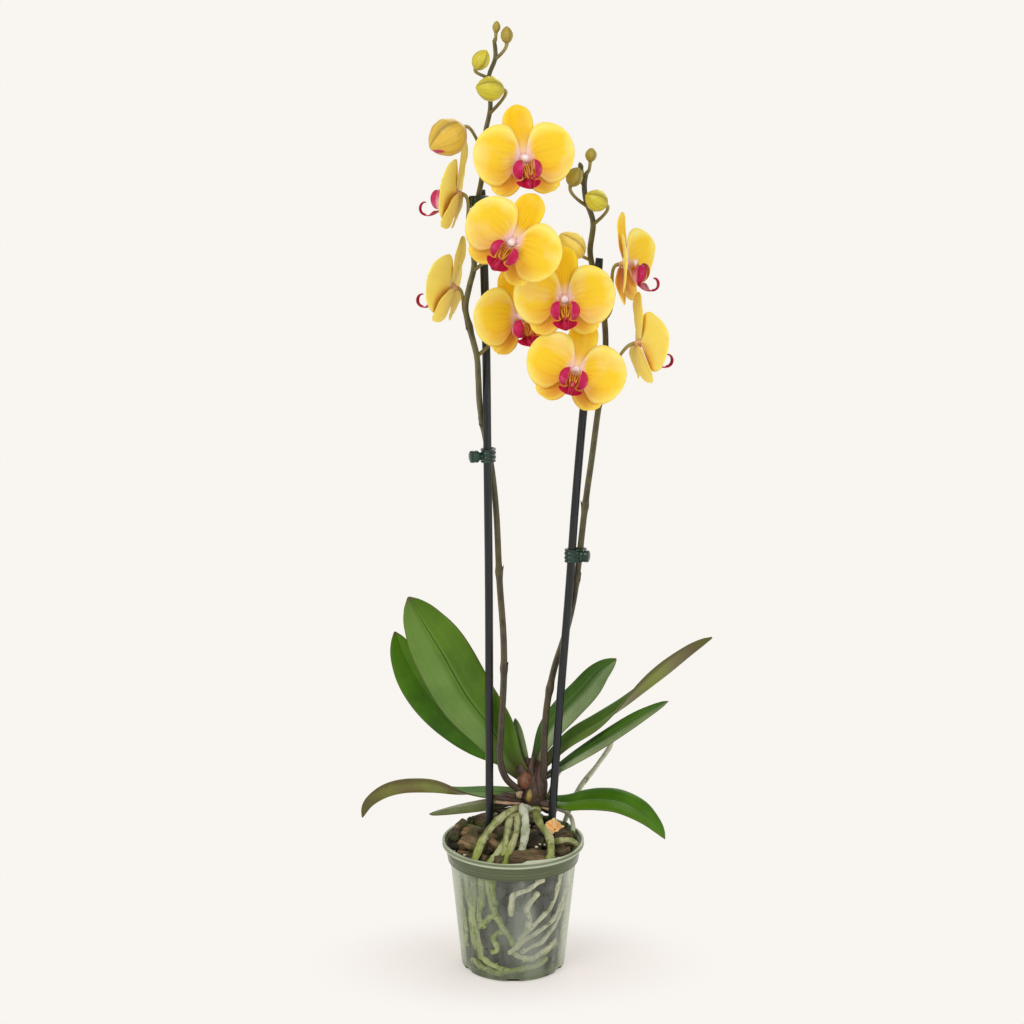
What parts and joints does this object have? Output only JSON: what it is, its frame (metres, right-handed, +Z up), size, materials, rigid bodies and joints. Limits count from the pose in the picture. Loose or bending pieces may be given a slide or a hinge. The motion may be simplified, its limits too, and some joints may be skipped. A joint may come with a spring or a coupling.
{
  "type": "potted orchid",
  "caption": "Moth orchid in flower: arching yellow sprays with magenta lips on staked stems, strap leaves and aerial roots, in a clear growing pot of bark.",
  "frame": {"origin": "centre of the flat underside of the pot", "axes": "+Z up along the pot's axis; the flowers face -Y, and the taller flower spike stands on the -X side"},
  "size_m": [0.2983, 0.1235, 0.7755],
  "materials": {
    "clear_pot": "satin",
    "bark_medium": "matte",
    "stake": "satin",
    "clip": "satin",
    "crown": "matte",
    "root": "matte",
    "leaf": "satin",
    "stem": "satin",
    "petal": "matte",
    "lip": "satin",
    "column": "satin",
    "bud": "satin",
    "dry_bract": "matte"
  },
  "bodies": {
    "root": {"pot": "clear_pot", "growing_medium": "bark_medium", "stake_left": "stake", "stake_right": "stake", "clip_left_lower": "clip", "clip_left_upper": "clip", "clip_right": "clip", "crown": "crown", "aerial_roots": "root", "leaf_upper_left": "leaf", "leaf_left_behind": "leaf", "leaf_left_arched": "leaf", "leaf_left_low": "leaf", "leaf_right_short": "leaf", "leaf_right_long": "leaf", "leaf_right_middle": "leaf", "leaf_right_arched": "leaf", "leaf_new": "leaf", "spike_left": "stem", "spike_right": "stem", "flower_1_tepals": "petal", "flower_1_lip": "lip", "flower_1_column": "column", "flower_2_tepals": "petal", "flower_2_lip": "lip", "flower_2_column": "column", "flower_3_tepals": "petal", "flower_3_lip": "lip", "flower_3_column": "column", "flower_4_tepals": "petal", "flower_4_lip": "lip", "flower_4_column": "column", "flower_5_tepals": "petal", "flower_5_lip": "lip", "flower_5_column": "column", "flower_6_tepals": "petal", "flower_6_lip": "lip", "flower_6_column": "column", "flower_7_tepals": "petal", "flower_7_lip": "lip", "flower_7_column": "column", "flower_8_tepals": "petal", "flower_8_lip": "lip", "flower_8_column": "column", "flower_9_tepals": "petal", "flower_9_lip": "lip", "flower_9_column": "column", "bud_left_1": "bud", "bud_left_2": "bud", "bud_left_3": "bud", "bud_left_4": "bud", "bud_left_5": "bud", "bud_right_1": "bud", "bud_right_2": "bud", "bud_right_3": "bud", "bud_right_4": "bud", "fallen_bract": "dry_bract"}
  },
  "joints": []
}
